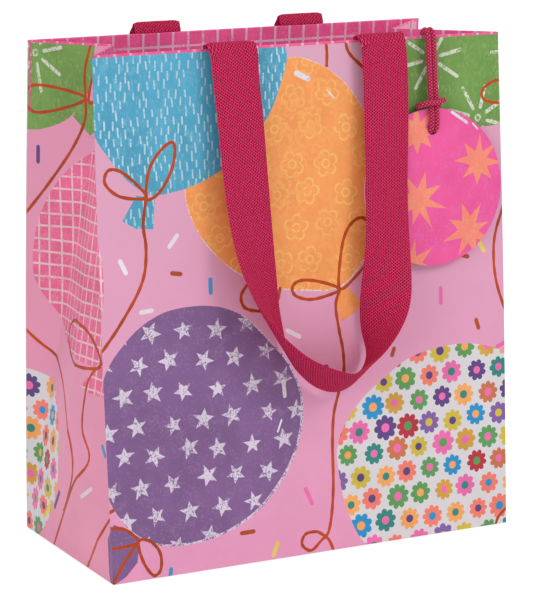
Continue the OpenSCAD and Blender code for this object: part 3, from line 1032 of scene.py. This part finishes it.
def tape_rows(body):
    """The whole tape: end in the hem, turn over the rim, loop, and the same again on the right."""
    def leg(side):
        heading = 90 + side * 90
        x = side * LEG
        rows = [(x, tail_low.z, SLIT, heading, 0, 0), (x, RIM_Z - 8, SLIT, heading, 0, 0),
                (x, RIM_Z - 0.5, SLIT, heading, 0, 0),
                (x, hinge.z - 0.7, SLIT + 0.15, heading, 0, 0)]
        return rows + [(x, hinge.z + h, o, heading, 0, 0) for h, o in ARCH[body]]
    drop = RIM_Z - LOOP_LOW
    loop = [(x * LEG, RIM_Z - h * drop, o, a, t, c) for x, h, o, a, t, c in LOOP]
    return leg(-1) + loop + leg(1)[::-1]


# Start and end of the turn over the rim: the tail stays inside it and the whole loop outside.
# These are distances outward from the front panel's face at the rim.
BEND_START, BEND_END = -0.4, 0.8
PRESSED = 0.55      # thickness of the tape inside the hem, as a share of its full one


def tape_section(steps=14):
    """Outline of the tape's section: place across, -1 to 1, and share of the thickness."""
    top = []
    for k in range(steps + 1):
        a = -1 + 2 * k / steps
        top.append((a, 0.5 * (1 - abs(a) ** 6) ** 0.5 * (1 + 0.06 * math.cos(a * 9))))
    return top + [(a, -t) for a, t in top[-2:0:-1]]


def make_tape(name, place_turn, body, hidden, material):
    rows = spline(tape_rows(body), False, 10)
    centre = [Vector((x, front_y(z) - o, z)) for x, z, o, _, _, _ in rows]
    run = distances(centre)
    outline = tape_section()
    n = len(outline)
    points = []
    for i, (_, z, o, heading, twist, curl) in enumerate(rows):
        way = heading_at(centre, i)
        h, t, c = math.radians(heading), math.radians(twist), max(math.radians(curl), 1e-4)
        flat = Vector((-math.cos(h), 0, -math.sin(h)))
        flat = (flat - flat.dot(way) * way).normalized()
        proud = flat.cross(way)
        proud = proud if proud.y < 0 else -proud
        press = PRESSED if z < RIM_Z - 0.2 and o < 0 else 1.0
        for a, b in outline:
            across = (math.sin(t + c * a) - math.sin(t)) / c
            ahead = (math.cos(t) - math.cos(t + c * a)) / c
            wide = flat * math.cos(t + c * a) + proud * math.sin(t + c * a)
            thick = way.cross(wide)
            points.append(centre[i] + (flat * across + proud * ahead) * (TAPE_W / 2)
                          + thick * (b * TAPE_T * press))
    piece = tube(name, [Vector(place_turn(*p)) * MM for p in points], n,
                 lambda i, k: ((outline[k % n][0] + 1) / 2 * TAPE_W, run[i]), material,
                 cap=(TAPE_W / 2, 0))
    piece.data.set_sharp_from_angle(angle=1.0)
    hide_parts(*hidden)
    start = Vector(place_turn(0, front_y(RIM_Z) - BEND_START, RIM_Z)) * MM
    end = Vector(place_turn(0, front_y(RIM_Z) - BEND_END,
                            RIM_Z + (BEND_END - BEND_START) * LEAN)) * MM
    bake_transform(piece)


def make_handles():
    # The light colour is a painted highlight on the threads, the darkest one painted shade in the holes.
    material = knit("knit_tape", base=(216, 24, 84), light=(254, 100, 148), dark=(108, 0, 32),
                    wale=0.95, course=1.5)
    make_tape("front_handle_tape", lambda x, y, z: (x, y, z), "front_handle",
              ["front_handle", "front_tail_left", "front_tail_right"], material)
    make_tape("back_handle_tape", lambda x, y, z: (-x, -y, z), "back_handle",
              ["back_handle", "back_tail_left", "back_tail_right"], material)


# ---- Tag and cord ----

sway = joint("tag_sway")
turn_joint = joint("tag_turn")
TAG_X = sway["pos_m"][0] / MM
CORD_D = 2.9
BRAID_PITCH = 1.6
# One half of the cord's route: distance from its middle, height from the rim, distance outward
CORD_HALF = [(1.4, 0.7, -0.9), (1.4, 2.2, -0.5), (1.4, 3.1, 1.5), (1.4, 1.8, 3.7),
             (1.4, -2, 4.5), (1.4, -14, 4.8), (1.4, -26, 5.5), (1.4, -36, 6.2),
             (1.4, -41.5, 6.2), (1.4, -44.7, 5.4), (1.4, -45.6, 4), (1.8, -44.4, 2.3),
             (3.4, -40, 1.9), (5.6, -36, 1.9), (6.9, -33.2, 2.6), (7.4, -32.2, 4.6),
             (6.6, -31.8, 7), (4, -31.5, 8.7), (0, -31.4, 9.4)]


def braid_material():
    g = Graph("braid", rough=0.7, specular=0.2)
    g.shader.inputs["Sheen Weight"].default_value = 0.08
    u, v = g.uv()
    left = g.math("FRACT", g.math("ADD", g.math("MULTIPLY", u, 4.0), v))
    right = g.math("FRACT", g.math("SUBTRACT", v, g.math("MULTIPLY", u, 4.0)))
    a = g.between(g.math("ABSOLUTE", g.math("SUBTRACT", left, 0.5)), 0.1, 0.45)
    b = g.between(g.math("ABSOLUTE", g.math("SUBTRACT", right, 0.5)), 0.1, 0.45)
    both = g.math("MULTIPLY", a, b)
    # Painted shade and highlight: dark in the grooves between the strands and light on their crowns,
    # following the bump.
    g.colour(g.mix(g.between(both, 0.0, 0.5), linear((158, 12, 58)), linear((240, 86, 132))))
    g.bump(both, strength=0.6, distance=0.0002)
    return g.material


def make_cord():
    left = [(TAG_X - x, z - 0.06 * max(x - 3, 0) ** 1.8, o) for x, z, o in CORD_HALF]
    right = [(TAG_X + min(x, 2.6 + 0.62 * (x - 2.6)), z + 0.8, o) if 2.6 < x else (TAG_X + x, z, o)
             for x, z, o in CORD_HALF]
    route = spline(left + right[-2::-1], False, 14)
    path = [Vector((x, front_y(RIM_Z + z) - o, RIM_Z + z)) for x, z, o in route]
    run = distances(path)
    n = 20
    points = []
    side = Vector((1, 0, 0))
    for i, p in enumerate(path):
        way = heading_at(path, i)
        side = (side - side.dot(way) * way).normalized()
        other = way.cross(side)
        for k in range(n):
            a = k / n * math.tau
            strand = math.cos(2 * a + run[i] * 2.4) * math.cos(2 * a - run[i] * 2.4)
            r = CORD_D / 2 * (0.97 + 0.05 * strand)
            points.append((p + side * (r * math.cos(a)) + other * (r * math.sin(a))) * MM)
    cord = tube("tag_cord_braid", points, n, lambda i, k: (k / n, run[i] / BRAID_PITCH),
                braid_material())
    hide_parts("tag_cord")
    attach(cord, "tag_cord")


def make_tag():
    low, high = mm_box("tag_card")
    radius = (high.x - low.x) / 2
    hole = Vector(turn_joint["pos_m"]) / MM
    out = Vector(turn_joint["axis"]).normalized()
    up = Vector((0, out.z, -out.y)).normalized()
    across = Vector((1, 0, 0))
    thick, hole_radius = 0.8, 3.0
    below = radius - (high.z - hole.z) / up.z
    d = Drawing()
    for x, z, r, turn in ((26, 11, 14.5, 0.1), (-9, -6, 14.5, 0.3), (20, -23, 14.5, 0.5),
                          (-9, 28, 13.5, 0.0), (-14, -38, 13, 0.2), (-33, 12, 13, 0.4)):
        d.add("tag_star", star(x, z, r, 8, 0.42, turn, 0.2))
    d.add("chalk", dash(15.5, 33.6, 12, -34, 1.5))
    d.add("chalk", dash(24.5, 28.6, 5, -46, 0.8))
    opening = disc(0, below, hole_radius, 32)
    sheet = cut(d, disc(0, 0, radius, 120), holes=[opening], background="tag", spacing=4)

    def place(u, v, depth):
        lift = 0.5 * (1 - (u / radius) ** 2) - 0.25
        return hole + across * u + up * (v - below) + out * (thick + lift * 0.4 - depth)

    piece = shell("tag_card_paper", *sheet, place, thick, rim="tag_edge")
    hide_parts("tag_card")
    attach(piece, "tag")


def dress_frame():
    """Finishes of the CAD pieces that stay: base, seam flap and what shows inside the rim."""
    looks = {"base_board": "board", "seam_flap": "paper_white", "front_rim_card": "board",
             "back_rim_card": "board", "cord_tail": "hem"}
    looks.update({f"base_flap_{end}": "pink" for end in ("front", "back", "left", "right")})
    for name, look in looks.items():
        mesh = frame["nodes"][name].data
        mesh.materials.clear()
        mesh.materials.append(INK[look])


# ---- Floor, background and light ----


def make_stage():
    g = Graph("floor", rough=0.9, specular=0.0)
    glow = g.node("ShaderNodeEmission")
    glow.inputs["Strength"].default_value = 0.6
    add = g.node("ShaderNodeAddShader")
    path = g.node("ShaderNodeLightPath")
    pick = g.node("ShaderNodeMixShader")
    seen = g.math("MAXIMUM", path.outputs["Is Camera Ray"], path.outputs["Is Glossy Ray"])
    g.shader.inputs["Base Color"].default_value = linear((236, 234, 235))
    g.feed(add.inputs[0], g.shader.outputs[0])
    g.feed(add.inputs[1], glow.outputs[0])
    g.feed(pick.inputs[0], seen)
    g.feed(pick.inputs[1], g.shader.outputs[0])
    g.feed(pick.inputs[2], add.outputs[0])
    output = next(n for n in g.tree.nodes if n.type == "OUTPUT_MATERIAL")
    g.feed(output.inputs[0], pick.outputs[0])
    bpy.ops.mesh.primitive_plane_add(size=8, location=(0, 0, -0.0004))
    floor = bpy.context.object
    floor.name = "floor"
    floor.data.materials.append(g.material)
    world = bpy.data.worlds.new("studio")
    bpy.context.scene.world = world
    world.use_nodes = True
    tree = world.node_tree
    sky = tree.nodes["Background"]
    path = tree.nodes.new("ShaderNodeLightPath")
    level = tree.nodes.new("ShaderNodeMapRange")
    # As light the sky is dimmer than the camera sees it
    level.inputs[3].default_value, level.inputs[4].default_value = 0.6, 1.0
    tree.links.new(path.outputs["Is Camera Ray"], level.inputs[0])
    tree.links.new(level.outputs[0], sky.inputs["Strength"])
    sky.inputs["Color"].default_value = (1, 1, 1, 1)


LAMP_TARGET = Vector((0, 0, 0.12))


def lamp(name, place, size, power):
    data = bpy.data.lights.new(name, "AREA")
    data.shape, data.size, data.energy = "DISK", size, power
    light = add_object(name, data)
    light.location = place
    light.rotation_euler = (LAMP_TARGET - Vector(place)).to_track_quat("-Z", "Y").to_euler()


def make_lights():
    lamp("key", (0.9, -1.5, 1.5), size=0.9, power=13)
    lamp("fill", (-1.6, -0.9, 0.7), size=1.2, power=7.5)


make_camera()
make_inks()
make_cord()
make_handles()
make_tag()
art = bag_print()
make_panels(art)
make_hems()
dress_frame()
make_stage()
make_lights()
bpy.context.scene.view_settings.view_transform = "Standard"
